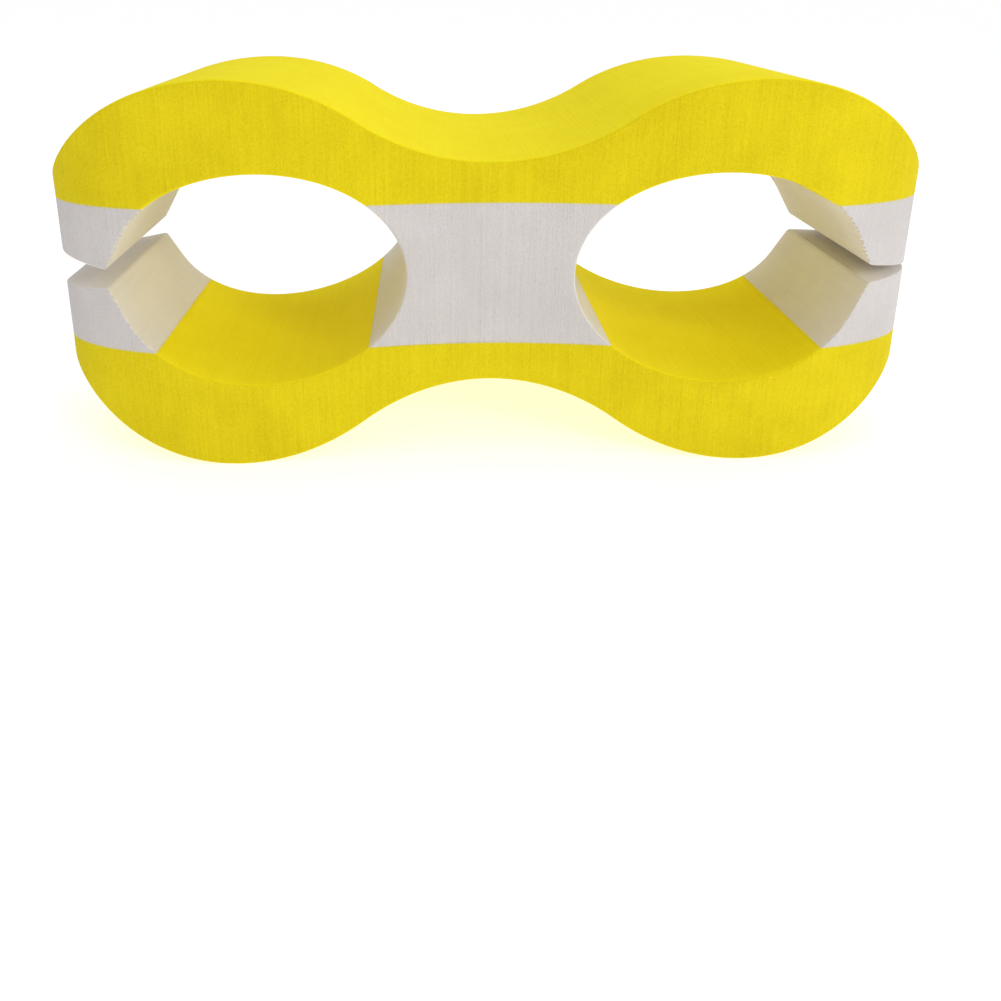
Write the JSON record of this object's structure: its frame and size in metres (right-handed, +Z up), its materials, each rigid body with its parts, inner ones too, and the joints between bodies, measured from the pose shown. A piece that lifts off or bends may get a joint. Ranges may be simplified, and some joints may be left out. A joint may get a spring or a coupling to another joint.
{
  "type": "pull buoy",
  "caption": "Figure-eight leg float of layered yellow and white EVA foam, domed at the back, with ankle holes that open to the ends through slits.",
  "frame": {"origin": "on the ground under the middle of the bounding box, midway between the two lower lobes the float stands on", "axes": "+X along the float, +Y from the hollow front face to the domed back face and along the ankle holes, +Z up through the yellow, white and yellow layers"},
  "size_m": [0.245, 0.1032, 0.108],
  "materials": {
    "yellow_foam": "matte closed-cell foam, saw-cut",
    "white_foam": "matte closed-cell foam, saw-cut",
    "glue_line": "thin cured contact cement"
  },
  "bodies": {
    "core": {"white_web": "white_foam", "yellow_core_upper": "yellow_foam", "glue_web_upper": "glue_line", "yellow_core_lower": "yellow_foam", "glue_web_lower": "glue_line"},
    "jaw_upper_left": {"yellow_jaw_upper_left": "yellow_foam", "white_tip_upper_left": "white_foam", "glue_tip_upper_left": "glue_line"},
    "jaw_upper_right": {"yellow_jaw_upper_right": "yellow_foam", "white_tip_upper_right": "white_foam", "glue_tip_upper_right": "glue_line"},
    "jaw_lower_left": {"yellow_jaw_lower_left": "yellow_foam", "white_tip_lower_left": "white_foam", "glue_tip_lower_left": "glue_line"},
    "jaw_lower_right": {"yellow_jaw_lower_right": "yellow_foam", "white_tip_lower_right": "white_foam", "glue_tip_lower_right": "glue_line"}
  },
  "joints": [
    {"name": "upper_left_jaw_flex", "type": "hinge", "parent": "core", "child": "jaw_upper_left", "pos_m": [-0.0633, 0, 0.10771], "axis": [0, 1, 0], "range_deg": [-1.4, 20], "stiffness_Nm_per_rad": 1.5},
    {"name": "upper_right_jaw_flex", "type": "hinge", "parent": "core", "child": "jaw_upper_right", "pos_m": [0.0633, 0, 0.10771], "axis": [0, -1, 0], "range_deg": [-0.4, 20], "stiffness_Nm_per_rad": 1.5},
    {"name": "lower_left_jaw_flex", "type": "hinge", "parent": "core", "child": "jaw_lower_left", "pos_m": [-0.0633, 0, 0.00029], "axis": [0, -1, 0], "range_deg": [-1.4, 20], "stiffness_Nm_per_rad": 1.5},
    {"name": "lower_right_jaw_flex", "type": "hinge", "parent": "core", "child": "jaw_lower_right", "pos_m": [0.0633, 0, 0.00029], "axis": [0, 1, 0], "range_deg": [-0.4, 20], "stiffness_Nm_per_rad": 1.5}
  ]
}
